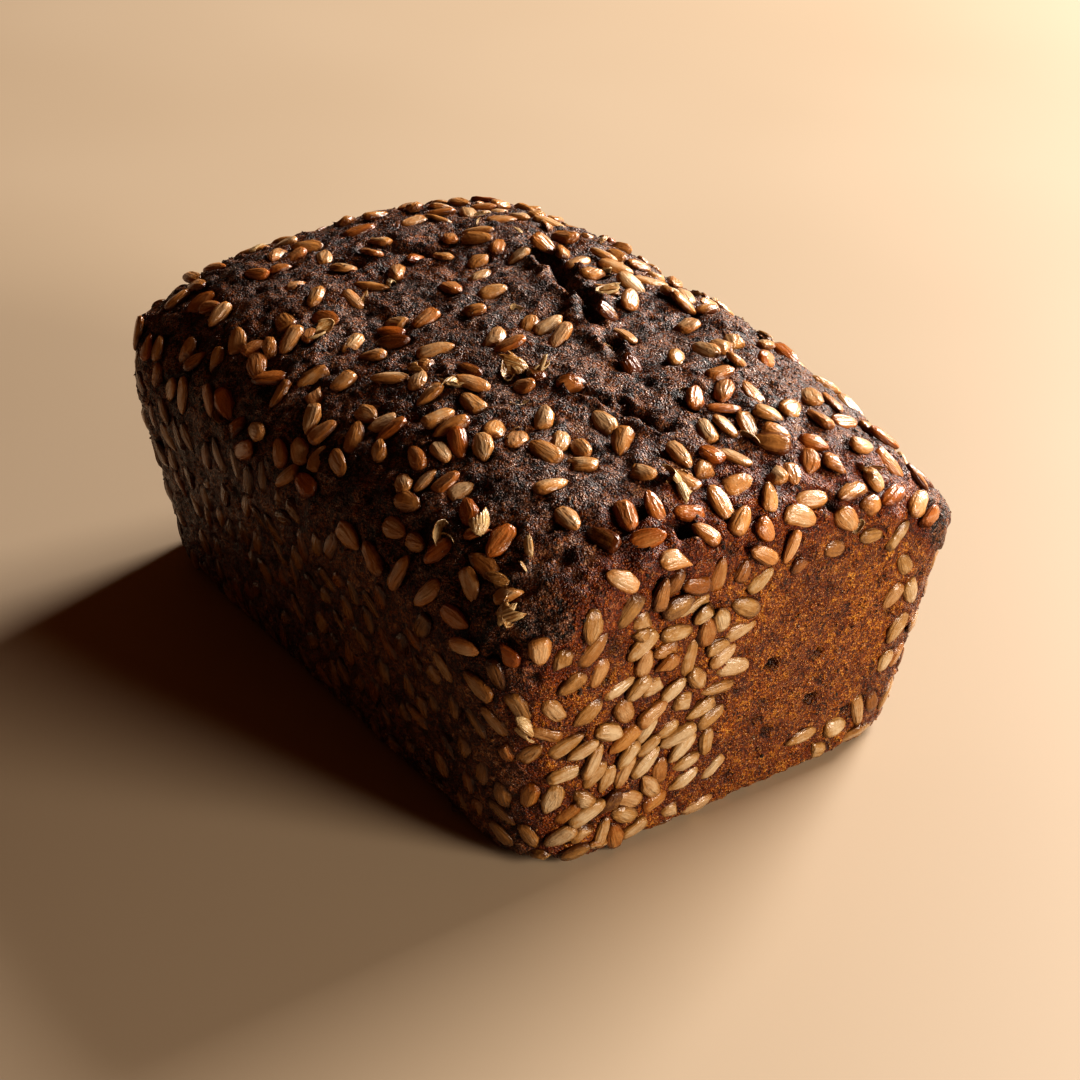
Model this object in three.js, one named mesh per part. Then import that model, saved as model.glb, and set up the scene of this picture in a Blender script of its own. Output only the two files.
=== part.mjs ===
/**
 * Seeded rye bread baked in a tin, as one solid loaf.
 *
 * Millimetres, +Z up, X along the loaf, origin at the middle of the flat underside.
 * The lower half took the shape of the tin: a rounded rectangle whose walls lean
 * outwards as they rise. Above the line where the dough left the tin a rounded
 * shoulder turns into a low dome. Two corners were pulled up into small lips.
 */
import * as THREE from "three";

// Underside, as if its edge were sharp
const BASE_LENGTH = 179;
const BASE_WIDTH = 117;
const PLAN_CORNER_RADIUS = 20;
const BASE_EDGE_RADIUS = 4;

// How far each wall leans out for every millimetre of height
const END_FLARE = 0.072;
const SIDE_FLARE = 0.185;

// Height at which the dough left the tin, at the four corners
const LINE_FRONT_LEFT = 52.5;
const LINE_FRONT_RIGHT = 43;
const LINE_BACK_LEFT = 50;
const LINE_BACK_RIGHT = 51;

// How much higher that line runs along the loaf's middle and across its middle
const LINE_RISE_LENGTHWISE = 5.6;
const LINE_RISE_CROSSWISE = 24;
const LINE_POWER_LENGTHWISE = 2;
const LINE_POWER_CROSSWISE = 3.4;

// Dome above the line: extra height and the run of its shoulders
const DOME_RISE = 12.6;
const SHOULDER_RUN_SIDE = 19;
const SHOULDER_RUN_END = 47;
const SHOULDER_POWER = 2.7;
const SHOULDER_STRETCH_SIDE = 1.2;
const SHOULDER_STRETCH_END = 1.07;
const CREST_LEAN = 11.6;

// Pulled-up corners
const FRONT_LIP_HEIGHT = 8;
const FRONT_LIP_SPREAD = 9;
const BACK_LIP_HEIGHT = 6;
const BACK_LIP_SPREAD_X = 16;
const BACK_LIP_SPREAD_Y = 9;

// Gentle swelling of the dough over the dome
const LUMP_HEIGHT = 0.8;
const LUMP_WAVE_X = 47;
const LUMP_WAVE_Y = 39;
const LUMP_PHASE = 1.3;

// Mesh fineness
const CELLS_LONG = 36;
const CELLS_WIDE = 24;
const WALL_BANDS = 11;
const EDGE_BANDS = 3;
const EDGE_CROWDING = 0.75;

/** Grid lines from -1 to 1, closer together near both ends. */
function gridLines(cells) {
  const lines = [];
  for (let i = 0; i <= cells; i += 1) {
    const even = -1 + (2 * i) / cells;
    const eased = Math.sin((even * Math.PI) / 2);
    lines.push(EDGE_CROWDING * eased + (1 - EDGE_CROWDING) * even);
  }
  return lines;
}

/** Distance the rounded bottom edge pulls the wall in at height z. */
function edgeInset(z) {
  const drop = Math.max(0, BASE_EDGE_RADIUS - z);
  const reach = Math.sqrt(BASE_EDGE_RADIUS ** 2 - drop ** 2);
  return BASE_EDGE_RADIUS - reach;
}

/** Point of the rounded rectangle at height z; u and v run from -1 to 1 over it. */
function planPoint(u, v, z) {
  const inset = edgeInset(z);
  const halfLength = BASE_LENGTH / 2 + END_FLARE * z - inset;
  const halfWidth = BASE_WIDTH / 2 + SIDE_FLARE * z - inset;
  const radius = PLAN_CORNER_RADIUS - inset;
  let x = Math.abs(u) * halfLength;
  let y = Math.abs(v) * halfWidth;
  const a = (x - (halfLength - radius)) / radius;
  const b = (y - (halfWidth - radius)) / radius;
  if (a > 0 && b > 0) {
    x = halfLength - radius + radius * a * Math.sqrt(1 - (b * b) / 2);
    y = halfWidth - radius + radius * b * Math.sqrt(1 - (a * a) / 2);
  }
  return [Math.sign(u) * x, Math.sign(v) * y];
}

/** Bump of a given height, one wide at the corner it belongs to. */
function lip(height, fromX, spreadX, fromY, spreadY) {
  return height * Math.exp(-((fromX / spreadX) ** 2) - (fromY / spreadY) ** 2);
}

/** Height of the line where the dough left the tin. */
function tinLine(u, v) {
  const front = ((1 - v) * LINE_FRONT_LEFT + (1 + v) * LINE_FRONT_RIGHT) / 2;
  const back = ((1 - v) * LINE_BACK_LEFT + (1 + v) * LINE_BACK_RIGHT) / 2;
  const corners = ((1 + u) * front + (1 - u) * back) / 2;
  const lengthwise = LINE_RISE_LENGTHWISE * (1 - Math.abs(u) ** LINE_POWER_LENGTHWISE);
  const crosswise = LINE_RISE_CROSSWISE * (1 - Math.abs(v) ** LINE_POWER_CROSSWISE);
  const halfLength = BASE_LENGTH / 2;
  const halfWidth = BASE_WIDTH / 2;
  const fromFront = (1 - u) * halfLength;
  const fromBack = (1 + u) * halfLength;
  const fromRight = (1 - v) * halfWidth;
  const fromLeft = (1 + v) * halfWidth;
  const frontLip = lip(FRONT_LIP_HEIGHT, fromFront, FRONT_LIP_SPREAD, fromRight, FRONT_LIP_SPREAD);
  const backLip = lip(BACK_LIP_HEIGHT, fromBack, BACK_LIP_SPREAD_X, fromLeft, BACK_LIP_SPREAD_Y);
  return corners + lengthwise + crosswise + frontLip + backLip;
}

/** Rounded step from 0 at the wall to 1 once past the shoulder. */
function shoulder(distance, run) {
  const left = 1 - Math.min(1, Math.max(0, distance / run));
  return (1 - left ** SHOULDER_POWER) ** (1 / SHOULDER_POWER);
}

/** Low swelling of the dough, zero at the walls. */
function lumps(u, v) {
  const x = (u * BASE_LENGTH) / 2;
  const y = (v * BASE_WIDTH) / 2;
  const along = Math.sin((2 * Math.PI * x) / LUMP_WAVE_X + LUMP_PHASE);
  const across = Math.sin((2 * Math.PI * y) / LUMP_WAVE_Y - LUMP_PHASE);
  const skew = Math.cos((2 * Math.PI * (x + y)) / (LUMP_WAVE_X + LUMP_WAVE_Y));
  return LUMP_HEIGHT * (along * across + skew) * (1 - u * u) * (1 - v * v);
}

/** Height of the upper crust. */
function crustHeight(u, v) {
  const fromEnd = ((1 - Math.abs(u)) * BASE_LENGTH * SHOULDER_STRETCH_END) / 2;
  const fromSide = ((1 - Math.abs(v)) * BASE_WIDTH * SHOULDER_STRETCH_SIDE) / 2;
  const swell = shoulder(fromEnd, SHOULDER_RUN_END) * shoulder(fromSide, SHOULDER_RUN_SIDE);
  const lean = CREST_LEAN * v * (1 - v * v) * (1 - u * u);
  return tinLine(u, v) + DOME_RISE * swell + lean + lumps(u, v);
}

/** Collects points and triangles of one closed shell. */
class Shell {
  constructor() {
    this.points = [];
    this.triangles = [];
  }

  /** Adds a point and returns its number. */
  point(x, y, z) {
    this.points.push(x, y, z);
    return this.points.length / 3 - 1;
  }

  /** Adds a four-sided patch, corners anticlockwise from outside. */
  patch(a, b, c, d) {
    this.triangles.push(a, b, c, a, c, d);
  }

  /** Turns the shell into geometry with soft normals. */
  geometry() {
    const geometry = new THREE.BufferGeometry();
    geometry.setAttribute("position", new THREE.Float32BufferAttribute(this.points, 3));
    geometry.setIndex(this.triangles);
    geometry.computeVertexNormals();
    return geometry;
  }
}

/** Grid of points over the plan; place(u, v) gives each point's position. */
function addSheet(shell, us, vs, place) {
  return us.map((u) => vs.map((v) => shell.point(...place(u, v))));
}

/** Covers a grid of points with patches, facing up or down. */
function coverSheet(shell, sheet, facesUp) {
  for (let i = 0; i < sheet.length - 1; i += 1) {
    for (let j = 0; j < sheet[i].length - 1; j += 1) {
      const loop = [sheet[i][j], sheet[i + 1][j], sheet[i + 1][j + 1], sheet[i][j + 1]];
      if (!facesUp) {
        loop.reverse();
      }
      shell.patch(...loop);
    }
  }
}

/** Grid positions around the rim, anticlockwise from above. */
function rimCells() {
  const rim = [];
  for (let i = 0; i < CELLS_LONG; i += 1) {
    rim.push([i, 0]);
  }
  for (let j = 0; j < CELLS_WIDE; j += 1) {
    rim.push([CELLS_LONG, j]);
  }
  for (let i = CELLS_LONG; i > 0; i -= 1) {
    rim.push([i, CELLS_WIDE]);
  }
  for (let j = CELLS_WIDE; j > 0; j -= 1) {
    rim.push([0, j]);
  }
  return rim;
}

/** Heights of the wall rings above the underside, below a given tin line. */
function wallHeights(line) {
  const heights = [];
  for (let i = 1; i <= EDGE_BANDS; i += 1) {
    const turn = (i / EDGE_BANDS) * (Math.PI / 2);
    heights.push(BASE_EDGE_RADIUS * (1 - Math.cos(turn)));
  }
  for (let i = 1; i < WALL_BANDS; i += 1) {
    heights.push(BASE_EDGE_RADIUS + ((line - BASE_EDGE_RADIUS) * i) / WALL_BANDS);
  }
  return heights;
}

/** Whole loaf: underside, tin walls and domed top sharing their rims. */
function loafGeometry() {
  const us = gridLines(CELLS_LONG);
  const vs = gridLines(CELLS_WIDE);
  const shell = new Shell();
  const under = addSheet(shell, us, vs, (u, v) => [...planPoint(u, v, 0), 0]);
  const crown = addSheet(shell, us, vs, (u, v) => {
    return [...planPoint(u, v, tinLine(u, v)), crustHeight(u, v)];
  });
  coverSheet(shell, under, false);
  coverSheet(shell, crown, true);

  const columns = rimCells().map(([i, j]) => {
    const u = us[i];
    const v = vs[j];
    const rings = wallHeights(tinLine(u, v)).map((z) => shell.point(...planPoint(u, v, z), z));
    return [under[i][j], ...rings, crown[i][j]];
  });
  columns.forEach((column, k) => {
    const next = columns[(k + 1) % columns.length];
    for (let r = 0; r < column.length - 1; r += 1) {
      shell.patch(column[r], next[r], next[r + 1], column[r + 1]);
    }
  });
  return shell.geometry();
}

/** Dark baked crust. */
function crustMaterial() {
  return new THREE.MeshStandardMaterial({
    name: "crust",
    color: new THREE.Color("#4a2e20"),
    roughness: 0.8,
    metalness: 0,
  });
}

/** The loaf as a named mesh. */
function makeLoaf() {
  const loaf = new THREE.Mesh(loafGeometry(), crustMaterial());
  loaf.name = "loaf";
  return loaf;
}

const part = new THREE.Group();
part.name = "rye_bread_loaf";
part.add(makeLoaf());

export default part;
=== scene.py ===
"""Seeded rye tin loaf: the looks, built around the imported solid.

Metres, +Z up, X along the loaf, origin at the middle of the underside. The crust is a
finely meshed copy of the solid with its relief carved in. Sunflower kernels, seed coats
and bran are real meshes, laid on it by seeded chance.
"""

import logging
import math
import random
from collections import defaultdict
from collections.abc import Callable, Iterable, Sequence
from dataclasses import dataclass, field
from enum import Enum
from functools import partial
from itertools import product

import bmesh
import bpy
import numpy as np
from mathutils import Matrix, Vector, noise
from mathutils.kdtree import KDTree


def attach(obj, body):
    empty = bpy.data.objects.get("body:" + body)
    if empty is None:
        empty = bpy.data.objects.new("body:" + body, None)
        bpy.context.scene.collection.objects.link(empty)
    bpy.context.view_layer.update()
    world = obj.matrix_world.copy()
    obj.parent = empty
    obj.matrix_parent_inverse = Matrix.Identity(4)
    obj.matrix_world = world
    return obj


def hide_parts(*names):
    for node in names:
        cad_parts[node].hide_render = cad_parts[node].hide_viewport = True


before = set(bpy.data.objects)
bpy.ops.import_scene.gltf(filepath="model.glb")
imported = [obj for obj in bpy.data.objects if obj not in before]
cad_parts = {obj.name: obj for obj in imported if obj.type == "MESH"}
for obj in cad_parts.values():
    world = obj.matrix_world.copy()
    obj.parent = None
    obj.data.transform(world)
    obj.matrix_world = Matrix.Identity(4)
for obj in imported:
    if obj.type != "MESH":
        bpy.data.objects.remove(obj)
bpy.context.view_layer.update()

MM = 0.001
BODY = "root"
NODE = "loaf"
COLOUR = {"data_type": "RGBA"}
TIMES = {"operation": "MULTIPLY"}
TIMES_PLUS = {"operation": "MULTIPLY_ADD"}
RANDOM_SEED = 846
NOISE_SEED = 7
log = logging.getLogger("rye_loaf")


# --------------------------------------------------------------------------- helpers


def linear(hex_code: str) -> tuple[float, float, float, float]:
    """Turns an sRGB hex colour into a linear one.

    Args:
        hex_code: six hex digits with a leading #.

    Returns:
        Red, green, blue and full opacity.
    """
    parts = [int(hex_code[i:i + 2], 16) / 255 for i in (1, 3, 5)]
    low = [p / 12.92 if p <= 0.04045 else ((p + 0.055) / 1.055) ** 2.4 for p in parts]
    return (*low, 1.0)


def per_mm(size_mm: float) -> float:
    """Gives the texture scale that repeats every size_mm on Object coordinates."""
    return 1.0 / (size_mm * MM)


def smoothstep(low: float, high: float, value: np.ndarray) -> np.ndarray:
    """Eases each value from 0 at low to 1 at high."""
    t = np.clip((value - low) / (high - low), 0.0, 1.0)
    return t * t * (3.0 - 2.0 * t)


def rough(
    points: np.ndarray, wave_mm: float, octaves: int, shift: float, ridged: bool = False,
) -> np.ndarray:
    """Noise at each point.

    Args:
        points: places in metres.
        wave_mm: size of the largest bumps.
        octaves: how many finer layers are added.
        shift: moves the pattern, so that two fields differ.
        ridged: sharp ridges, 0 to about 1, in place of soft bumps, about -1 to 1.

    Returns:
        One value per point.
    """
    scaled = (points / (wave_mm * MM) + shift).tolist()
    if ridged:
        return np.array([noise.ridged_multi_fractal(p, 0.9, 2.1, octaves, 1.0, 1.6) for p in scaled]) * 0.5
    return np.array([noise.fractal(p, 1.0, 2.0, octaves) for p in scaled])


def index_points(points: np.ndarray) -> KDTree:
    """Makes a search tree of points.

    Args:
        points: places in metres.

    Returns:
        The balanced tree.
    """
    tree = KDTree(len(points))
    for index, point in enumerate(points.tolist()):
        tree.insert(point, index)
    tree.balance()
    return tree


def add_node(
    tree: bpy.types.NodeTree,
    kind: str,
    values: dict[str | int, object] | None = None,
    stops: Sequence[tuple[float, str]] = (),
    **settings: object,
) -> bpy.types.Node:
    """Adds a shader node, sets it up and links it.

    Args:
        tree: where the node goes.
        kind: node type without its ShaderNode prefix.
        values: input name or number to a constant, an output, or a node whose first
            live output feeds it.
        stops: places and hex colours of a colour ramp.
        settings: the node's own options.

    Returns:
        The new node.
    """
    made = tree.nodes.new("ShaderNode" + kind)
    for key, value in settings.items():
        setattr(made, key, value)
    if stops:
        ramp = made.color_ramp
        while len(ramp.elements) < len(stops):
            ramp.elements.new(1.0)
        for element, (place, hex_code) in zip(ramp.elements, stops):
            element.position = place
            element.color = linear(hex_code)
    for key, value in (values or {}).items():
        if isinstance(value, bpy.types.Node):
            value = next(output for output in value.outputs if output.enabled)
        if isinstance(value, bpy.types.NodeSocket):
            tree.links.new(value, made.inputs[key])
        else:
            made.inputs[key].default_value = value
    return made


def new_material(name: str) -> tuple[bpy.types.Material, Callable, bpy.types.NodeSocket]:
    """Starts an empty node material.

    Args:
        name: the material's name.

    Returns:
        The material, a function that adds nodes to it, and its Object coordinates.
    """
    material = bpy.data.materials.new(name)
    material.use_nodes = True
    material.node_tree.nodes.clear()
    node = partial(add_node, material.node_tree)
    return material, node, node("TexCoord").outputs["Object"]


def add_object(name: str, data: bpy.types.ID) -> bpy.types.Object:
    """Links a new object to the scene.

    Args:
        name: its name.
        data: its mesh, light or camera.

    Returns:
        The object.
    """
    made = bpy.data.objects.new(name, data)
    bpy.context.scene.collection.objects.link(made)
    return made


def place_object(name: str, mesh: bpy.types.Mesh, material: bpy.types.Material) -> bpy.types.Object:
    """Puts a finished mesh in the scene, smooth and dressed.

    Args:
        name: the piece's name.
        mesh: its mesh, already in place.
        material: its finish.

    Returns:
        The new object.
    """
    made = add_object(name, mesh)
    mesh.materials.clear()
    mesh.materials.append(material)
    mesh.polygons.foreach_set("use_smooth", [True] * len(mesh.polygons))
    return made


def turned(vector: Vector, angle: float, axis: Vector) -> Vector:
    """Turns a vector about an axis, by an angle in radians."""
    return Matrix.Rotation(angle, 3, axis) @ vector


def along_surface(vector: Vector, normal: Vector) -> Vector:
    """Gives the way a vector points once it is laid flat on a surface."""
    return (vector - normal * vector.dot(normal)).normalized()


def lying_ball(segments: int, rings: int) -> bmesh.types.BMesh:
    """Makes a unit ball whose poles lie along X.

    Args:
        segments: faces around it.
        rings: faces from pole to pole.

    Returns:
        The ball.
    """
    build = bmesh.new()
    bmesh.ops.create_uvsphere(build, u_segments=segments, v_segments=rings, radius=1.0)
    bmesh.ops.rotate(build, verts=build.verts, matrix=Matrix.Rotation(math.pi / 2, 3, "Y"))
    return build


def slice_off(build: bmesh.types.BMesh, place: Sequence[float], way: Sequence[float]) -> list:
    """Cuts away all that lies beyond a plane.

    Args:
        build: the shape.
        place: a point of the plane.
        way: the plane's normal, toward what goes.

    Returns:
        The vertices and edges along the cut.
    """
    geometry = build.verts[:] + build.edges[:] + build.faces[:]
    cut = bmesh.ops.bisect_plane(build, geom=geometry, plane_co=place, plane_no=way, clear_outer=True)
    return cut["geom_cut"]


def set_attribute(mesh: bpy.types.Mesh, name: str, values: np.ndarray) -> None:
    """Stores one number or one vector per vertex.

    Args:
        mesh: what it is stored on.
        name: the attribute's name.
        values: an array of N numbers or of N by 3.
    """
    vector = values.ndim == 2
    kind = "FLOAT_VECTOR" if vector else "FLOAT"
    layer = mesh.attributes.new(name, kind, "POINT")
    layer.data.foreach_set("vector" if vector else "value", values.astype(np.float32).ravel())


# ------------------------------------------------------------------------- finishes


@dataclass(frozen=True)
class BakedCrust:
    """Rye crust baked against a tin below and in the open above.

    Reads the crust's own attributes: burn (0 tin side, 1 dome), close (1 beside a
    kernel) and hollow (1 inside a pit).
    """

    name: str = "baked rye crust"
    ior: float = 1.4
    meal_mm: float = 1.1
    grit_mm: float = 0.5
    pore_mm: float = 1.3
    mottle_mm: float = 4.4
    patch_mm: float = 16.0
    meal_height_mm: float = 1.45
    grit_height_mm: float = 0.38
    pore_depth_mm: float = 0.35
    dull: float = 0.5
    glossy: float = 0.16

    def make(self) -> bpy.types.Material:
        """Builds the finish.

        Returns:
            The material.
        """
        material, node, place = new_material(self.name)
        burn, close, hollow = (
            node("Attribute", attribute_name=n).outputs["Fac"] for n in ("burn", "close", "hollow"))
        meal, mottle, patch = (
            node("TexNoise", {"Vector": place, "Scale": per_mm(size), "Detail": detail, "Roughness": 0.68})
            for size, detail in ((self.meal_mm, 4.0), (self.mottle_mm, 5.0), (self.patch_mm, 3.0)))
        grit, pore = (
            node("TexVoronoi", {"Vector": place, "Scale": per_mm(size)})
            for size in (self.grit_mm, self.pore_mm))
        grit_chance, pore_chance = (
            node("SeparateColor", {0: cells.outputs["Color"]}).outputs for cells in (grit, pore))

        # Small open pores where the crumb met the tin
        inside = node("MapRange", {0: pore, "From Min": 0.42, "From Max": 0.12})
        chosen = node("MapRange", {0: pore_chance["Red"], "From Min": 0.6, "From Max": 0.7})
        hole = node("Math", {0: inside, 1: chosen}, **TIMES)
        # Height of the grain, which also sets its colour: dark low, pale high, partly the meal's own colour
        # and partly painted shade in its hollows
        height = node("Math", {0: meal, 1: 0.55}, **TIMES)
        height = node("Math", {0: mottle, 1: 0.45, 2: height}, **TIMES_PLUS)
        # Painted glints: single grits painted pale, a painted highlight standing in for grits that catch the
        # light
        near_middle = node("MapRange", {0: grit, "From Min": 0.42, "From Max": 0.16})
        glint_pick = node("MapRange", {0: grit_chance["Blue"], "From Min": 0.55, "From Max": 0.95})
        painted_glint = node("Math", {0: near_middle, 1: glint_pick}, **TIMES)
        # Painted shade in the low gaps between grits
        grit_gap_shade = node("MapRange", {0: grit, "From Min": 0.35, "From Max": 0.7, "To Max": 0.8})

        # Tin side: toasted orange-brown meal
        tin = node("ValToRGB", {0: height}, stops=(
            (0.36, "#381400"), (0.44, "#864408"), (0.53, "#b06c14"), (0.62, "#eab552")))
        grit_tint = node("ValToRGB", {0: grit_chance["Red"]}, stops=((0.0, "#8f6a40"), (0.55, "#f8ead2")))
        patch_tint = node("ValToRGB", {0: patch}, stops=((0.38, "#a87550"), (0.56, "#fff2d4")))
        # Pores painted dark inside, a painted shade
        pore_shade = node("Math", {0: hole, 1: 0.75}, **TIMES)
        # Pale painted glints on the tin side, a painted highlight
        tin_painted_glint = node("Math", {0: painted_glint, 1: 0.7}, **TIMES)
        for share, blend, over in (
            (0.45, "MULTIPLY", grit_tint), (0.8, "MULTIPLY", patch_tint),
            (grit_gap_shade, "MULTIPLY", linear("#8a6038")), (tin_painted_glint, "MIX", linear("#eab873")),
            (pore_shade, "MIX", linear("#260b02")),
        ):
            tin = node("Mix", {0: share, 6: tin, 7: over}, blend_type=blend, **COLOUR)
        # Next to the dome and among the kernels it is browned more deeply
        brown = node("Mix", {0: 0.95, 6: tin, 7: linear("#cc9a60")}, blend_type="MULTIPLY", **COLOUR)
        # Dome: grain from black to tan, black in its hollows partly as painted shade, with a dull greyish
        # bloom in patches of the open top, partly real bloom and partly a painted sheen
        dark = node("ValToRGB", {0: height}, stops=(
            (0.41, "#080200"), (0.465, "#401a0c"), (0.53, "#8a5434"), (0.62, "#caa078")))
        bloom_and_sheen = node("ValToRGB", {0: height}, stops=(
            (0.41, "#0e0806"), (0.49, "#523a32"), (0.6, "#b0978a")))
        bloom_and_sheen_share = node("MapRange", {0: patch, "From Min": 0.48, "From Max": 0.57, "To Max": 0.85})
        open_top = node("MapRange", {0: burn, "From Min": 0.78, "From Max": 0.95})
        bloom_and_sheen_share = node("Math", {0: bloom_and_sheen_share, 1: open_top}, **TIMES)
        # Rust brown grits on the high grain, and pale painted glints on grits anywhere, a painted highlight
        rusty = node("MapRange", {0: grit_chance["Green"], "From Min": 0.7, "From Max": 0.82})
        tops = node("MapRange", {0: mottle, "From Min": 0.42, "From Max": 0.55, "To Max": 0.8})
        rusty = node("Math", {0: rusty, 1: tops}, **TIMES)
        dome_painted_glint = node("Math", {0: painted_glint, 1: 0.7}, **TIMES)
        dome = node("Mix", {0: bloom_and_sheen_share, 6: dark, 7: bloom_and_sheen}, **COLOUR)
        scorch = node("ValToRGB", {0: patch}, stops=((0.38, "#9a725c"), (0.54, "#ffffff")))
        for share, blend, over in (
            (1.0, "MULTIPLY", scorch), (grit_gap_shade, "MULTIPLY", linear("#74543f")),
            (rusty, "MIX", linear("#96541f")), (dome_painted_glint, "MIX", linear("#b8947c")),
        ):
            dome = node("Mix", {0: share, 6: dome, 7: over}, blend_type=blend, **COLOUR)

        # Uneven borders between the three
        edge = node("Math", {0: mottle, 1: 1.3, 2: -0.65}, **TIMES_PLUS)
        edge = node("Math", {0: edge, 1: burn}, operation="ADD")
        by_kernels = node("Math", {0: close, 1: 0.12, 2: edge}, **TIMES_PLUS)
        to_brown = node("MapRange", {0: by_kernels, "From Min": 0.2, "From Max": 0.5})
        to_dark = node("MapRange", {0: edge, "From Min": 0.42, "From Max": 0.8})
        # Dark rim round each kernel, partly a sticky glaze and partly painted shade where crust meets
        # kernel; pits and tears painted nearly black, a painted shade; and a few pale specks of flour
        rim = node("MapRange", {0: close, "From Min": 0.4, "From Max": 1.0, "To Max": 0.6})
        pit = node("Math", {0: hollow, 1: 0.92}, **TIMES)
        middle = node("MapRange", {0: pore, "From Min": 0.16, "From Max": 0.12, "To Max": 0.8})
        few = node("Math", {0: pore_chance["Blue"], 1: 0.955}, operation="GREATER_THAN")
        speck = node("Math", {0: middle, 1: few}, **TIMES)
        skin = tin
        for share, blend, over in (
            (to_brown, "MIX", brown), (to_dark, "MIX", dome), (rim, "MULTIPLY", linear("#b27440")),
            (pit, "MIX", linear("#0c0403")), (speck, "MIX", linear("#cdbfae")),
        ):
            skin = node("Mix", {0: share, 6: skin, 7: over}, blend_type=blend, **COLOUR)

        # Relief: meal, then single grits, then pores
        bump = node("Bump", {"Strength": 1.0, "Distance": self.meal_height_mm * MM, "Height": height})
        for strength, depth, over in ((1.0, self.grit_height_mm, grit), (0.8, self.pore_depth_mm, hole)):
            bump = node("Bump", {
                "Strength": strength, "Distance": depth * MM, "Height": over, "Normal": bump}, invert=True)
        gloss = node("MapRange", {
            0: meal, "From Min": 0.4, "From Max": 0.6, "To Min": self.dull, "To Max": self.glossy})
        shader = node("BsdfPrincipled", {
            "Base Color": skin, "Roughness": gloss, "IOR": self.ior, "Normal": bump})
        node("OutputMaterial", {"Surface": shader})
        return material


@dataclass(frozen=True)
class KernelSkin:
    """Hulled sunflower kernel: waxy, finely grooved along its length.

    Reads each kernel's own attributes: grain (a vector that runs along and round it)
    and baked (how dark, how rosy, and 1 toward its rim and tip; the rim darkening is partly painted shade).
    """

    name: str
    pale: str
    middle: str
    dark: str
    rosy: str
    roughness: float
    dull_grooves: float = 0.15
    ior: float = 1.5
    groove_depth_mm: float = 0.3
    groove_scale: float = 2.1
    wrinkle_mm: float = 0.6
    wrinkle_depth_mm: float = 0.16
    blotch_mm: float = 2.4
    rim_share: float = 0.46
    streak_share: float = 0.2

    def make(self) -> bpy.types.Material:
        """Builds the finish.

        Returns:
            The material.
        """
        material, node, place = new_material(self.name)
        grain = node("Attribute", attribute_name="grain").outputs["Vector"]
        baked = node("Attribute", attribute_name="baked").outputs["Vector"]
        tone, rosy, rim = node("SeparateXYZ", {0: baked}).outputs[:3]
        streak = node("TexNoise", {
            "Vector": grain, "Scale": self.groove_scale, "Detail": 2.5, "Roughness": 0.5,
            "Distortion": 0.3})
        streak = node("MapRange", {0: streak, "From Min": 0.3, "From Max": 0.7})
        blotch = node("TexNoise", {
            "Vector": place, "Scale": per_mm(self.blotch_mm), "Detail": 4.0, "Roughness": 0.65})
        depth = tone
        # Darker toward the rim, partly toast and partly painted shade where it turns away and meets the
        # crust; paler ridges and darker grooves, partly the kernel's own streaks and partly painted
        # highlight and shade
        for layer, share in ((blotch, 0.7), (rim, self.rim_share), (streak, -self.streak_share)):
            depth = node("Math", {0: layer, 1: share, 2: depth}, **TIMES_PLUS)
        base = node("ValToRGB", {0: depth}, stops=(
            (0.14, self.pale), (0.5, self.middle), (0.95, self.dark)))
        colour = node("Mix", {0: rosy, 6: base, 7: linear(self.rosy)}, blend_type="MULTIPLY", **COLOUR)
        ridges = node("Bump", {
            "Strength": 0.9, "Distance": self.groove_depth_mm * MM, "Height": streak})
        wrinkle = node("TexNoise", {
            "Vector": place, "Scale": per_mm(self.wrinkle_mm), "Detail": 2.0, "Roughness": 0.5})
        ridges = node("Bump", {
            "Strength": 0.7, "Distance": self.wrinkle_depth_mm * MM, "Height": wrinkle, "Normal": ridges})
        gloss = node("MapRange", {
            0: streak, "To Min": self.roughness + self.dull_grooves, "To Max": self.roughness})
        shader = node("BsdfPrincipled", {
            "Base Color": colour, "Roughness": gloss, "IOR": self.ior, "Normal": ridges})
        node("OutputMaterial", {"Surface": shader})
        return material


# Kernels baked against the tin: waxy, khaki on top and amber to brown down their flanks, the darker flanks
# partly painted shade
PRESSED_SKIN = KernelSkin(
    "sunflower kernel, tin baked", "#bca98a", "#9a7440", "#4c2a0c", "#e0b478", 0.15, rim_share=0.62)
# Kernels baked in the open: glossy, from pale khaki to toasted amber
TOASTED_SKIN = KernelSkin(
    "sunflower kernel, toasted", "#c4a984", "#b8844a", "#582c0e", "#deac76", 0.16)
# Split seed coats: papery, straw coloured, streaked along their length
HUSK_SKIN = KernelSkin(
    "papery seed coat", "#cfb486", "#9c6e38", "#3c220e", "#ffffff", 0.15,
    rim_share=0.2, streak_share=0.5)
# Bran and crumbs: dull, from rust to nearly black
BRAN_SKIN = KernelSkin("toasted bran", "#b27a3c", "#5a3420", "#140b09", "#ffffff", 0.5)


@dataclass(frozen=True)
class PaleFloor:
    """Matt painted studio floor, pale and warm, with the faintest unevenness."""

    name: str = "matt studio floor"
    colour: str = "#b6a68e"
    shade: str = "#ae9d84"
    roughness: float = 0.6
    cloud_mm: float = 300.0

    def make(self) -> bpy.types.Material:
        """Builds the finish.

        Returns:
            The material.
        """
        material, node, place = new_material(self.name)
        cloud = node("TexNoise", {"Vector": place, "Scale": per_mm(self.cloud_mm), "Detail": 2.0})
        tint = node("ValToRGB", {0: cloud}, stops=((0.3, self.shade), (0.7, self.colour)))
        shader = node("BsdfPrincipled", {"Base Color": tint, "Roughness": self.roughness})
        node("OutputMaterial", {"Surface": shader})
        return material


# ---------------------------------------------------------------------------- crust


@dataclass(frozen=True)
class Tear:
    """A crack the rising dough left in the dome."""

    path_mm: tuple[tuple[float, float], ...]
    depth_mm: float
    half_width_mm: float
    lip_mm: float


@dataclass(frozen=True)
class Knob:
    """A corner where dough rose over the tin's rim and scorched."""

    place_mm: tuple[float, float, float]
    push_mm: tuple[float, float, float]
    radius_mm: float


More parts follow.
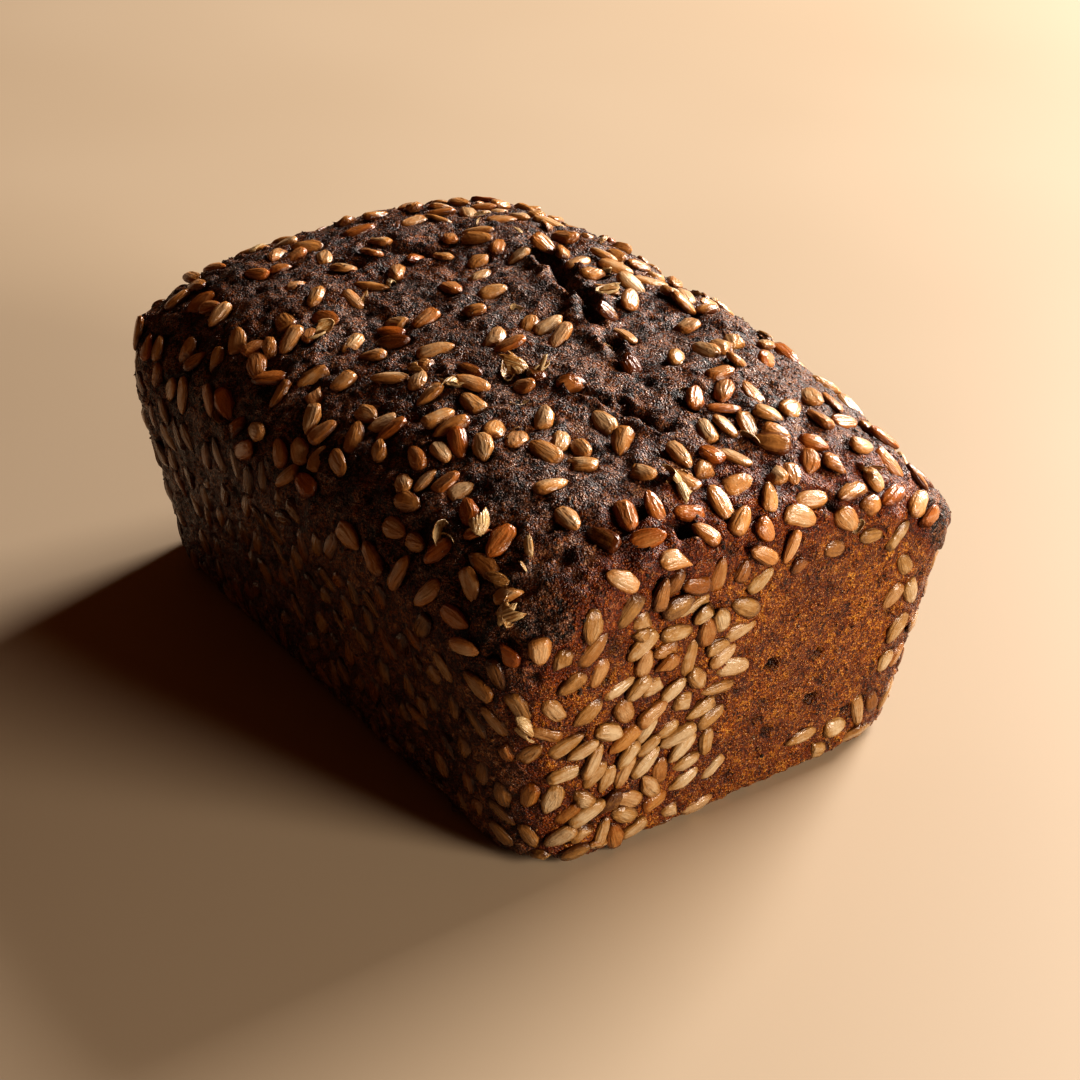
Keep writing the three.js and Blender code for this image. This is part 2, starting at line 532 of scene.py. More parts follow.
@dataclass
class LoafCrust:
    """The loaf's own skin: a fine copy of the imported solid, with relief carved in.

    Relief heights are given for the dome and for the tin side. Holes are a place and a
    radius.
    """

    voxel_mm: float = 0.95
    underside_mm: float = 0.7
    swell_wave_mm: float = 19.0
    swell_mm: float = 1.0
    lump_dome_mm: float = 0.9
    lump_tin_mm: float = 0.4
    crag_mm: float = 0.75
    grain_dome_mm: float = 0.45
    grain_tin_mm: float = 0.5
    tin_recess_mm: float = 0.5
    seat_depth_mm: float = 0.55
    seat_groove_mm: float = 0.25
    small_pits: int = 420
    rim_height_mm: float = 78.0
    tears: tuple[Tear, ...] = (
        Tear(((-26, 22), (-14, 20), (-4, 16), (6, 15)), 4.4, 1.8, 1.4),
        Tear(((8, 13), (18, 10), (28, 8)), 3.2, 1.7, 1.2),
        Tear(((34, -10), (44, -8), (53, -4), (60, -2)), 2.6, 1.3, 1.1),
        Tear(((-60, -8), (-50, -2), (-44, 3)), 2.0, 1.6, 0.8),
        Tear(((12, 40), (22, 38), (30, 41)), 1.8, 1.5, 0.7),
    )
    knobs: tuple[Knob, ...] = (
        Knob((93, 57, 59), (0.8, 1.2, -0.4), 6.0),
        Knob((-88, -61, 71), (-0.6, -0.6, 1.8), 5.0),
        Knob((-90, 58, 66), (-0.6, 0.8, 0.6), 8.0),
    )
    holes_mm: tuple[tuple[float, float, float, float], ...] = (
        (23, 9, 91, 2.3), (81, -26, 83, 2.0), (92, 20, 77, 1.7), (88, -20, 82, 3.0),
        (92, 6, 38, 1.5), (92, 20, 36, 1.3), (91, 21, 22, 1.8), (90, 33, 14, 1.6),
    )
    points: np.ndarray = field(init=False)
    normals: np.ndarray = field(init=False)
    mesh: bpy.types.Mesh = field(init=False)
    dome: np.ndarray = field(init=False)
    torn: np.ndarray = field(init=False)

    def shell(self) -> None:
        """Copies the solid, smooths it and meshes it evenly and finely."""
        build = bmesh.new()
        build.from_mesh(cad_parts[NODE].data)
        bmesh.ops.remove_doubles(build, verts=build.verts, dist=0.005 * MM)
        bmesh.ops.join_triangles(
            build, faces=build.faces, angle_face_threshold=0.7, angle_shape_threshold=0.9)
        coarse = bpy.data.meshes.new("shell")
        build.to_mesh(coarse)
        build.free()
        holder = add_object("shell", coarse)
        smooth = holder.modifiers.new("round", "SUBSURF")
        smooth.levels = smooth.render_levels = 2
        even = holder.modifiers.new("even", "REMESH")
        even.mode = "VOXEL"
        even.voxel_size = self.voxel_mm * MM
        graph = bpy.context.evaluated_depsgraph_get()
        self.mesh = bpy.data.meshes.new_from_object(holder.evaluated_get(graph))
        self.mesh.name = "rye_crust"
        bpy.data.objects.remove(holder)
        self._thin_underside()
        self._read()

    def _thin_underside(self) -> None:
        """Merges the flat underside, which needs no fine mesh."""
        build = bmesh.new()
        build.from_mesh(self.mesh)
        build.normal_update()
        flat = [v for v in build.verts if v.co.z < self.underside_mm * MM
                and all(f.normal.z < -0.995 for f in v.link_faces)]
        chosen = set(flat)
        inner = [e for e in build.edges if not chosen.isdisjoint(e.verts)]
        bmesh.ops.dissolve_limit(build, angle_limit=0.12, verts=flat, edges=inner)
        bmesh.ops.triangulate(build, faces=[f for f in build.faces if len(f.verts) > 4])
        build.to_mesh(self.mesh)
        build.free()

    def _read(self) -> None:
        """Reads the mesh's points and normals."""
        count = len(self.mesh.vertices)
        points = np.empty(count * 3)
        normals = np.empty(count * 3)
        self.mesh.vertices.foreach_get("co", points)
        self.mesh.vertex_normals.foreach_get("vector", normals)
        self.points = points.reshape(-1, 3)
        self.normals = normals.reshape(-1, 3)

    def _move(self, out_mm: np.ndarray, aside_mm: np.ndarray | float = 0.0) -> None:
        """Moves each point along its normal, then reads the mesh again.

        Args:
            out_mm: how far outwards.
            aside_mm: a further move as vectors.
        """
        moved = self.points + self.normals * (out_mm * MM)[:, None] + aside_mm * MM
        moved[:, 2] = np.maximum(moved[:, 2], 0.0)
        self.mesh.vertices.foreach_set("co", moved.ravel())
        self.mesh.update()
        self._read()

    def swell(self) -> None:
        """Shapes what the oven did: broad lumps, scorched corners and the torn crest."""
        self.dome = smoothstep(-0.02, 0.3, self.normals[:, 2])
        out = self.swell_mm * rough(self.points, self.swell_wave_mm, 2, 3.7) * self.dome
        self.torn = np.zeros(len(self.points))
        for tear in self.tears:
            gap = self._gap_to_tear(tear)
            ragged = 0.75 + 0.9 * rough(self.points, 6.0, 2, 9.2)
            cut = np.exp(-((gap / tear.half_width_mm) ** 2)) * self.dome * np.clip(ragged, 0.15, 1.2)
            beside = (gap - 2.1 * tear.half_width_mm) / (0.9 * tear.half_width_mm)
            out += tear.lip_mm * np.exp(-(beside ** 2)) * self.dome * ragged - tear.depth_mm * cut
            self.torn = np.maximum(self.torn, cut)
        aside = np.zeros((len(self.points), 3))
        for knob in self.knobs:
            share = self._near(knob.place_mm, knob.radius_mm)[:, None]
            aside += np.array(knob.push_mm) * share
        self._move(out, aside)

    def _near(self, place_mm: Sequence[float], radius_mm: float) -> np.ndarray:
        """How near each point is to a place: 1 there, fading over the radius."""
        gap = np.linalg.norm(self.points / MM - np.array(place_mm, float), axis=1)
        return np.exp(-((gap / radius_mm) ** 2))

    def _gap_to_tear(self, tear: Tear) -> np.ndarray:
        """Measures from each point to a crack, with ragged edges.

        Args:
            tear: the crack.

        Returns:
            Distances in millimetres.
        """
        wander = rough(self.points, 9.0, 4, 11.3)[:, None] * np.array((3.0, -2.4))
        plan = self.points[:, :2] / MM + wander
        nearest = np.full(len(plan), 1e9)
        path = np.array(tear.path_mm, float)
        for start, end in zip(path[:-1], path[1:]):
            run = end - start
            along = np.clip(((plan - start) @ run) / (run @ run), 0.0, 1.0)
            gap = np.linalg.norm(plan - start - along[:, None] * run, axis=1)
            nearest = np.minimum(nearest, gap)
        return np.maximum(nearest + 1.6 * rough(self.points, 7.0, 2, 4.4), 0.0)

    def relief(self, kernels: "list[Kernel]", rng: random.Random) -> None:
        """Carves the fine relief and stores what the finish reads.

        Args:
            kernels: the kernels already laid, which press into the crust.
            rng: source of chance for the pits.
        """
        burn = self.burn()
        gap = self._gap_to_kernels(kernels)
        pits, hollow = self._pits(rng)
        tin = 1.0 - self.dome
        out = (self.lump_dome_mm * self.dome + self.lump_tin_mm * tin) * rough(self.points, 6.5, 3, 8.1)
        out += self.dome * (self.crag_mm * rough(self.points, 4.6, 3, 5.5, ridged=True) - 0.5)
        out += (self.grain_dome_mm * self.dome + self.grain_tin_mm * tin) * rough(self.points, 2.2, 2, 2.2)
        out -= tin * self.tin_recess_mm + pits
        out -= self.seat_depth_mm * smoothstep(0.9, -0.7, gap)
        out -= self.seat_groove_mm * self.dome * np.exp(-((gap - 0.2) / 0.7) ** 2)
        self._move(out)
        set_attribute(self.mesh, "burn", burn)
        # The finish darkens the crust beside kernels (glaze and painted shade) and paints pits and tears
        # nearly black (painted shade)
        set_attribute(self.mesh, "close", np.exp(-np.maximum(gap, 0.0) / 1.3))
        set_attribute(self.mesh, "hollow", np.maximum(hollow, 0.85 * self.torn ** 1.5))

    def burn(self) -> np.ndarray:
        """Works out how darkly each point is baked, the long sides darker partly as painted shade.

        Returns:
            0 on the ends, 1 on the dome, more on the scorched knobs.
        """
        x, y, z = self.points.T / MM
        uneven = rough(self.points, 13.0, 3, 1.9)
        edge = smoothstep(-0.04, 0.36, self.normals[:, 2] + 0.14 * uneven)
        above_rim = z - (self.rim_height_mm - 0.0045 * y * y) + 6.0 * uneven
        near_end = smoothstep(-7.0, 24.0, above_rim + 0.35 * np.maximum(86.0 - x, 0.0))
        edge = np.where((x > 55) & (np.abs(y) < 52), np.minimum(edge, near_end), edge)
        under_rim = 0.4 * smoothstep(-14.0, 0.0, above_rim) * (z > 40)
        # Both long sides darkened: partly a darker bake, partly painted shade
        long_side_bake_and_shade = 0.74 * smoothstep(0.3, 0.9, np.abs(self.normals[:, 1]) + 0.2 * uneven)
        burn = np.maximum.reduce([edge, under_rim, long_side_bake_and_shade])
        for knob in self.knobs:
            burn = burn + 1.3 * self._near(knob.place_mm, knob.radius_mm)
        return np.clip(burn, 0.0, 1.3)

    def _gap_to_kernels(self, kernels: "list[Kernel]") -> np.ndarray:
        """Measures from each point to the nearest kernel's outline.

        Args:
            kernels: the kernels already laid.

        Returns:
            Distances in millimetres, negative under a kernel.
        """
        axis, side, centre = (np.array([getattr(k, n) for k in kernels]) for n in ("axis", "side", "centre"))
        half, broad = (np.array([getattr(k, n) / 2 for k in kernels]) for n in ("length_mm", "width_mm"))
        tree = index_points(centre)
        picks = np.array([[hit[1] for hit in tree.find_n(p, 4)] for p in self.points.tolist()])
        gap = np.full(len(self.points), 99.0)
        for column in picks.T:
            offset = (self.points - centre[column]) / MM
            along = (offset * axis[column]).sum(1) / half[column]
            across = (offset * side[column]).sum(1) / broad[column]
            reach = np.sqrt(along ** 2 + across ** 2)
            off = np.linalg.norm(offset, axis=1)
            gap = np.minimum(gap, off * (1.0 - 1.0 / np.maximum(reach, 0.25)))
        return gap + 0.35 * rough(self.points, 3.0, 2, 6.6)

    def _pits(self, rng: random.Random) -> tuple[np.ndarray, np.ndarray]:
        """Depth of the burst bubbles at each point, and how shut in it is.

        Args:
            rng: source of chance.

        Returns:
            Depth in millimetres and a 0 to 1 hollow mask.
        """
        wander = np.array([rough(self.points, 2.6, 2, s) for s in (0.3, 7.9, 15.1)]).T
        warped = self.points + wander * (0.9 * MM)
        tree = index_points(warped)
        depth = np.zeros(len(self.points))
        hollow = np.zeros(len(self.points))
        holes = [(Vector(h[:3]) * MM, h[3], 2.2) for h in self.holes_mm]
        for _ in range(self.small_pits):
            index = rng.randrange(len(self.points))
            holes.append((Vector(warped[index]), rng.triangular(0.7, 2.3, 0.9), rng.uniform(0.4, 1.0)))
        for centre, radius, steep in holes:
            reach = radius * 1.3
            for _, index, gap in tree.find_range(centre, reach * MM):
                inside = 1.0 - (gap / MM / reach) ** 2
                depth[index] = max(depth[index], steep * radius * 0.8 * inside)
                hollow[index] = max(hollow[index], min(1.0, steep * inside ** 1.5))
        return depth, hollow

    def finish(self, material: bpy.types.Material) -> bpy.types.Object:
        """Puts the crust in the scene in place of the solid.

        Args:
            material: the crust's finish.

        Returns:
            The crust object.
        """
        crust = place_object("rye_crust", self.mesh, material)
        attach(crust, BODY)
        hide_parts(NODE)
        return crust


# -------------------------------------------------------------------------- kernels


class Seat(Enum):
    """How a kernel sits in the crust."""

    PRESSED = "pressed flush by the tin"
    PROUD = "standing proud on the dome"
    UNDER = "pressed flush underneath"


@dataclass
class Kernel:
    """One kernel: where it lies and how big it is."""

    centre: tuple[float, float, float]
    axis: tuple[float, float, float]
    side: tuple[float, float, float]
    normal: tuple[float, float, float]
    length_mm: float
    width_mm: float
    thick_mm: float
    seat: Seat
    tone: float
    rosy: float
    mould: int


@dataclass
class Mould:
    """One small shape of unit size, with the attributes its finish reads."""

    points: np.ndarray = field(init=False)
    faces: list[list[int]] = field(init=False)
    grain: np.ndarray = field(init=False)
    rim: np.ndarray = field(init=False)

    def take(self, build: bmesh.types.BMesh, grain: np.ndarray, rim: np.ndarray) -> None:
        """Reads a finished shape and frees it.

        Args:
            build: the shape.
            grain: one vector per vertex that runs along and round it.
            rim: 1 at its rim and tip.
        """
        bmesh.ops.recalc_face_normals(build, faces=build.faces)
        build.verts.index_update()
        self.points = np.array([v.co for v in build.verts])
        self.faces = [[v.index for v in face.verts] for face in build.faces]
        self.grain = grain
        self.rim = rim
        build.free()


@dataclass
class KernelMould(Mould):
    """A hulled kernel, pointed at +X and blunt at -X."""

    blunt: float = 0.5
    point: float = 0.75
    square: float = 2.5
    taper: float = 0.15
    flat: float = 0.28
    bend: float = 0.0
    ridge: float = 0.05
    dent: float = 0.06
    seed: float = 0.0
    cut: float | None = None
    segments: int = 12
    rings: int = 7

    def __post_init__(self) -> None:
        """Shapes the kernel from a ball."""
        build = lying_ball(self.segments, self.rings)
        if self.cut is not None:
            self._chip(build)
        ball = np.array([v.co for v in build.verts])
        for vert in build.verts:
            vert.co = self._shape(vert.co)
        # Rim: 1 where the kernel's flank turns down to the crust; the finish darkens it, partly as painted
        # shade
        rim = np.clip(1.0 - ball[:, 2] / 0.9, 0.0, 1.0) ** 1.15
        tip = np.clip((ball[:, 0] - 0.8) / 0.2, 0.0, 1.0)
        self.take(build, ball * np.array((0.28, 1.0, 1.0)), np.maximum(rim, tip))

    def _chip(self, build: bmesh.types.BMesh) -> None:
        """Breaks the kernel off across a slanted plane."""
        cut = slice_off(build, (self.cut, 0, 0), (1, 0.3, 0.35))
        bmesh.ops.holes_fill(build, edges=[e for e in cut if isinstance(e, bmesh.types.BMEdge)], sides=0)

    def _shape(self, ball: Vector) -> Vector:
        """Moves a point of the unit ball onto the kernel.

        Args:
            ball: the point.

        Returns:
            Where it goes.
        """
        along = max(-1.0, min(1.0, ball.x))
        ring = math.sqrt(max(0.0, 1.0 - along * along))
        if ring < 1e-3:
            return Vector((along, self.bend * 0.6, 0.0))
        y, z = ball.y / ring, ball.z / ring
        deep_share = z - self.flat * z ** 3
        power = self.point if along > 0 else self.blunt
        belly = (1.0 - abs(along) ** self.square) ** power
        angle = math.atan2(z, y)
        ridges = 1.0 + self.ridge * math.cos(6.0 * angle) * belly
        ridges += self.dent * noise.noise(Vector((along * 1.6, y, z)) + Vector((self.seed, 0, 0)))
        broad = belly * (1.0 - self.taper * along) * ridges
        deep = belly ** 0.8 * (1.0 - 0.1 * along) * ridges
        bow = self.bend * (along * along - 0.4)
        return Vector((along, y * broad + bow, deep_share * deep))


@dataclass
class KernelMoulds:
    """Whole kernels of many shapes, then broken ones."""

    rng: random.Random
    whole: int = 12
    broken: int = 5
    moulds: list[KernelMould] = field(default_factory=list)

    def __post_init__(self) -> None:
        """Draws the shapes."""
        uniform = self.rng.uniform
        for number in range(self.whole + self.broken):
            chipped = number >= self.whole
            self.moulds.append(KernelMould(
                blunt=uniform(0.3, 0.5), point=uniform(0.52, 0.95), square=uniform(2.2, 3.8),
                taper=uniform(0.02, 0.26), flat=uniform(0.2, 0.38), bend=uniform(-0.13, 0.13),
                ridge=uniform(0.02, 0.1), dent=uniform(0.1, 0.26), seed=uniform(0, 90),
                cut=uniform(0.05, 0.6) if chipped else None))

    def pick(self, broken: bool) -> int:
        """Draws one mould's number."""
        low, high = (self.whole, self.whole + self.broken) if broken else (0, self.whole)
        return self.rng.randrange(low, high)


@dataclass(frozen=True)
class Patch:
    """A round patch of the near end where kernels lie thick."""

    y_mm: float
    z_mm: float
    radius_mm: float


@dataclass
class KernelCoat:
    """All the kernels on the loaf, laid by seeded chance, zone by zone."""

    crust: LoafCrust
    rng: random.Random
    moulds: KernelMoulds
    length_mm: float = 8.8
    shortest_mm: float = 6.2
    longest_mm: float = 10.3
    width_mm: float = 4.75
    narrowest_mm: float = 3.3
    widest_mm: float = 5.3
    thick_mm: float = 3.1
    broken_share: float = 0.16
    burnt_share: float = 0.02
    rosy_share: float = 0.3
    dome_tone: float = 0.06
    darkest_tone: float = 0.6
    palest_tone: float = -0.1
    cell: float = 11 * MM
    sweeps: int = 3
    open_above: float = 0.16
    patches: tuple[Patch, ...] = (
        Patch(-17, 52, 15), Patch(-28, 38, 15), Patch(-30, 22, 13), Patch(-39, 13, 12),
        Patch(-26, 62, 11), Patch(-42, 32, 8),
    )
    kernels: list[Kernel] = field(default_factory=list)
    grid: dict[tuple[int, int, int], list[int]] = field(default_factory=lambda: defaultdict(list))

    def lay(self) -> None:
        """Throws kernels at the loaf wherever they fit."""
        points = self.crust.points
        normals = self.crust.normals
        cluster = rough(points, 14.0, 2, 21.7)
        rates, slack = self._rates(points / MM, normals, cluster)
        order = list(range(len(points)))
        self.rng.shuffle(order)
        for sweep in range(self.sweeps):
            for index in order:
                if self.rng.random() < rates[index] - sweep:
                    self._try(Vector(points[index]), Vector(normals[index]), slack[index])

    def _rates(
        self, at: np.ndarray, normals: np.ndarray, cluster: np.ndarray,
    ) -> tuple[np.ndarray, np.ndarray]:
        """Throws at each point, and how closely kernels may crowd there.

        Args:
            at: points in millimetres.
            normals: the way each faces.
            cluster: noise that gathers kernels together.

        Returns:
            One rate and one crowding per point; a rate of 3 fills the place up.
        """
        x, y, z = at.T
        up = normals[:, 2]
        wander = 5.0 * cluster
        rates = np.full(len(at), 0.06)
        slack = np.full(len(at), 0.98)
        facings = (normals[:, 0], -normals[:, 0], normals[:, 1])
        near, far, right = ((facing > 0.7) & (up < 0.25) for facing in facings)
        # Near end: thick patches left of the middle
        rates[near] = 0.012
        rates[near & (y + wander < -6)] = 0.1
        for patch in self.patches:
            inside = near & (np.hypot(y - patch.y_mm, z - patch.z_mm) < patch.radius_mm + wander)
            rates[inside] = 1.5
            slack[inside] = 0.70
        shoulder = (up > 0.12) & (up <= 0.3)
        for zone, rate in (
            # A border round a bare field on the right of the near end
            (near & (y > 40), 0.06),
            (near & (z + wander > 63) & (y > -16), 0.3),
            (near & (z < 12) & (y > 18) & (y < 52), 0.05),
            (near & (y + wander > -3) & (y + 0.6 * wander < 41) & (z > 12) & (z < 61), 0.0005),
            (near & (y > -8) & (y < 18) & (z <= 12), 0.004),
            # Bare fields of the far end and the right side, and the underside
            (far & ((y - 12) ** 2 / 700 + (z - 30) ** 2 / 420 < 1 + cluster), 0.002),
            (right & ((x - 34) ** 2 / 600 + (z - 26) ** 2 / 260 < 1 + cluster), 0.003),
            (up < -0.7, 0.014),
            (shoulder, 0.03),
            (shoulder & (normals[:, 0] > 0.7) & (y > -14), 0.25),
        ):
            rates[zone] = rate
        # Dome: gathered in clusters, thinner or thicker from zone to zone
        dome = up > 0.3
        gather = 0.005 + 0.08 * smoothstep(0.08, 0.42, cluster)
        for zone, times, plus in (
            ((y < -22) & (x < 45), 1.5, 0.0),
            (y > 12, 1.8, 0.0),
            (x < -20, 1.3, 0.0),
            ((x > 22) & (x < 60) & (y < 14), 0.6, 0.0),
            ((x >= 60) & (y > -14), 1.5, 0.006),
            ((x >= 42) & (y <= -14), 0.7, 0.0045),
            ((y > -20) & (y < 12) & (x < 60), 0.6, 0.0),
            ((x > 70) & (y > -14), 1.6, 0.02),
            ((x > 80) & (y > -34) & (y <= -14), 1.0, 0.03),
            ((x < -36) & (y < -28) & (y > -58), 0.35, 0.0),
        ):
            gather[zone] = gather[zone] * times + plus
        rates[dome] = gather[dome]
        # None in the tears or on the scorched near corner
        near_knob = self.crust.knobs[0]
        rates[self.crust.torn > 0.25] = 0.0
        rates[np.linalg.norm(at - np.array(near_knob.place_mm), axis=1) < near_knob.radius_mm] = 0.0
        slack[dome | shoulder] = 0.84
        return rates, slack

    def _try(self, point: Vector, normal: Vector, slack: float) -> None:
        """Lays a kernel at a point if there is room for it.

        Args:
            point: where it was thrown.
            normal: the way the crust faces there.
            slack: how closely it may crowd others.
        """
        rng = self.rng
        up = normal.z
        seat = Seat.PROUD if up > self.open_above else Seat.UNDER if up < -0.7 else Seat.PRESSED
        length = min(self.longest_mm, max(self.shortest_mm, rng.gauss(self.length_mm, 0.95)))
        width = min(self.widest_mm, max(self.narrowest_mm, rng.gauss(self.width_mm, 0.45)))
        thick = self.thick_mm * rng.uniform(0.8, 1.2)
        axis = self._heading(normal, seat)
        crowd = self._crowd(point, axis, length, width)
        if crowd < slack:
            return
        if seat is not Seat.UNDER:
            spread = 9.0 if seat is Seat.PROUD else 3.5
            axis = turned(axis, math.radians(rng.gauss(0, spread)), axis.cross(normal))
            normal = turned(normal, math.radians(rng.gauss(0, spread * 1.6)), axis)
            normal = along_surface(normal, axis)
        side = normal.cross(axis).normalized()
        lift = 2.6 * max(0.0, 1.0 - crowd)
        if seat is Seat.PRESSED:
            lift += rng.uniform(0.1, 0.5) - thick / 2
        elif seat is Seat.PROUD:
            lift += thick * rng.uniform(-0.3, 0.12)
        centre = point + normal * (lift * MM)
        reach = abs(axis.z) * length / 2 + abs(side.z) * width / 2 + abs(normal.z) * thick / 2
        centre.z = max(centre.z, (reach * 0.9 + 0.1) * MM)
        self.grid[self._cell(point)].append(len(self.kernels))
        self.kernels.append(Kernel(
            tuple(centre), tuple(axis), tuple(side), tuple(normal), length, width, thick, seat,
            *self._toast(seat, point, normal), self.moulds.pick(rng.random() < self.broken_share)))

    def _heading(self, normal: Vector, seat: Seat) -> Vector:
        """Draws the way a kernel lies in the surface.

        Args:
            normal: the way the surface faces.
            seat: how the kernel sits.

        Returns:
            The direction of its length.
        """
        flat = Vector((1, 0, 0)) if abs(normal.z) > 0.6 else Vector((0, 0, 1)).cross(normal)
        flat = along_surface(flat, normal)
        turn = self.rng.uniform(0, math.pi)
        if seat is Seat.PRESSED and normal.x > 0.7:
            turn = math.radians(self.rng.gauss(42, 46))
        elif seat is Seat.PRESSED:
            turn = math.radians(self.rng.gauss(100, 34))
        if self.rng.random() < 0.5:
            turn += math.pi
        return turned(flat, turn, normal)

    def _toast(self, seat: Seat, point: Vector, normal: Vector) -> tuple[float, float]:
        """Draws how dark and how rosy one kernel is baked.

        Args:
            seat: how it sits.
            point: where it lies.
            normal: the way it faces.

        Returns:
            Its darkness and its rosiness.
        """
        rng = self.rng
        rosy = rng.uniform(0.3, 1.0) if rng.random() < self.rosy_share else rng.uniform(0.0, 0.25)
        if seat is Seat.PROUD and rng.random() < self.burnt_share:
            return rng.uniform(0.5, 0.75), rosy
        if seat is Seat.PROUD:
            return min(0.45, max(self.palest_tone, rng.gauss(self.dome_tone, 0.13))), rosy
        # Darker and rosier on the long sides, partly as painted shade, and darker toward the top of every
        # wall
        tone = 0.3 * abs(normal.y) + 0.2 * max(0.0, point.z / MM - 50) / 25
        tone = min(self.darkest_tone, max(self.palest_tone, rng.gauss(tone, 0.12)))
        return tone, min(1.0, rosy + 0.3 * abs(normal.y))

    def _cell(self, point: Vector) -> tuple[int, int, int]:
        """Grid cell a point is in."""
        return tuple(math.floor(c / self.cell) for c in point)

    def _crowd(self, point: Vector, axis: Vector, length: float, width: float) -> float:
        """Works out how close a kernel would come to those already laid.

        Args:
            point: its middle.
            axis: the way it lies.
            length: its length in millimetres.
            width: its width in millimetres.

        Returns:
            Smallest distance over the distance at which they touch; above 1 is clear.
        """
        run = (length - width) / 2 * MM
        spots = [point + axis * (run * t) for t in (-1.0, 0.0, 1.0)]
        least = 9.0
        for cell in product(*((c - 1, c, c + 1) for c in self._cell(point))):
            for number in self.grid.get(cell, ()):
                other = self.kernels[number]
                centre = Vector(other.centre)
                if (centre - point).length > self.cell:
                    continue
                touch = (width + other.width_mm) / 2 * MM
                way = Vector(other.axis) * ((other.length_mm - other.width_mm) / 2 * MM)
                for end in (centre - way, centre, centre + way):
                    least = min(least, min((end - spot).length for spot in spots) / touch)
        return least

    def build(self, name: str, seats: Iterable[Seat], finish: KernelSkin) -> bpy.types.Object:
        """Joins the kernels of some seats into one piece.

        Args:
            name: the piece's name.
            seats: which kernels go in it.
            finish: their finish.

        Returns:
            The piece.
        """
        joiner = Joiner(self.rng)
        for kernel in (k for k in self.kernels if k.seat in seats):
            turn = np.array((kernel.axis, kernel.side, kernel.normal)).T
            size = np.array((kernel.length_mm, kernel.width_mm, kernel.thick_mm)) / 2 * MM
            joiner.add(self.moulds.moulds[kernel.mould], turn * size, kernel.centre,
                       kernel.tone, kernel.rosy)
        return joiner.make(name, finish)


@dataclass
class Joiner:
    """Collects many small shapes into one mesh with their attributes."""

    rng: random.Random
    points: list[np.ndarray] = field(default_factory=list)
    faces: list[list[int]] = field(default_factory=list)
    grain: list[np.ndarray] = field(default_factory=list)
    baked: list[np.ndarray] = field(default_factory=list)
    count: int = 0

    def add(self, mould: Mould, matrix: np.ndarray, centre: Sequence[float], tone: float,
            rosy: float = 0.0) -> None:
        """Adds one shape.

        Args:
            mould: its shape.
            matrix: 3 by 3, turns and sizes it.
            centre: where its middle goes.
            tone: how dark it is.
            rosy: how far its colour turns rosy.
        """
        start = self.count
        size = len(mould.points)
        self.points.append(mould.points @ matrix.T + np.array(centre))
        self.faces.extend([[start + i for i in face] for face in mould.faces])
        self.grain.append(mould.grain + np.array([self.rng.uniform(0, 60) for _ in range(3)]))
        self.baked.append(np.column_stack((np.full(size, tone), np.full(size, rosy), mould.rim)))
        self.count += size

    def make(self, name: str, finish: KernelSkin) -> bpy.types.Object:
        """Makes the piece.

        Args:
            name: its name.
            finish: its finish.

        Returns:
            The piece, riding on the loaf.
        """
        mesh = bpy.data.meshes.new(name)
        mesh.from_pydata(np.concatenate(self.points).tolist(), [], self.faces)
        set_attribute(mesh, "grain", np.concatenate(self.grain))
        set_attribute(mesh, "baked", np.concatenate(self.baked))
        piece = place_object(name, mesh, finish.make())
        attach(piece, BODY)
        return piece


# ------------------------------------------------------------------- husks and bran


@dataclass
class HuskMould(Mould):
    """A piece of seed coat: part of a kernel's skin, with a torn end."""

    half_width: float = 0.5
    torn_at: float = 0.6
    curl: float = 0.2
    wall: float = 0.07
    seed: float = 0.0

    def __post_init__(self) -> None:
        """Cuts a strip from an egg's upper skin and gives it thickness."""
        build = lying_ball(14, 8)
        slice_off(build, (0, 0, 0.05), (0.1, 0, -1))
        for side in (1, -1):
            slice_off(build, (0, side * self.half_width, 0), (0.15, side, 0))
        slice_off(build, (self.torn_at, 0, 0), (1, 0.5, 0.2))
        shift = Vector((self.seed, 0, 0))
        for vert in build.verts:
            ragged_edge = noise.noise(vert.co * 3.1 + shift)
            vert.co += Vector((0.12 * ragged_edge, 0.1 * ragged_edge, self.curl * vert.co.x ** 2))
        bmesh.ops.solidify(build, geom=build.faces[:], thickness=self.wall)
        ball = np.array([v.co for v in build.verts])
        rim = np.clip(np.abs(ball[:, 1]) / max(self.half_width, 0.1), 0.0, 1.0) ** 3
        self.take(build, ball * np.array((0.35, 2.2, 1.5)), rim)


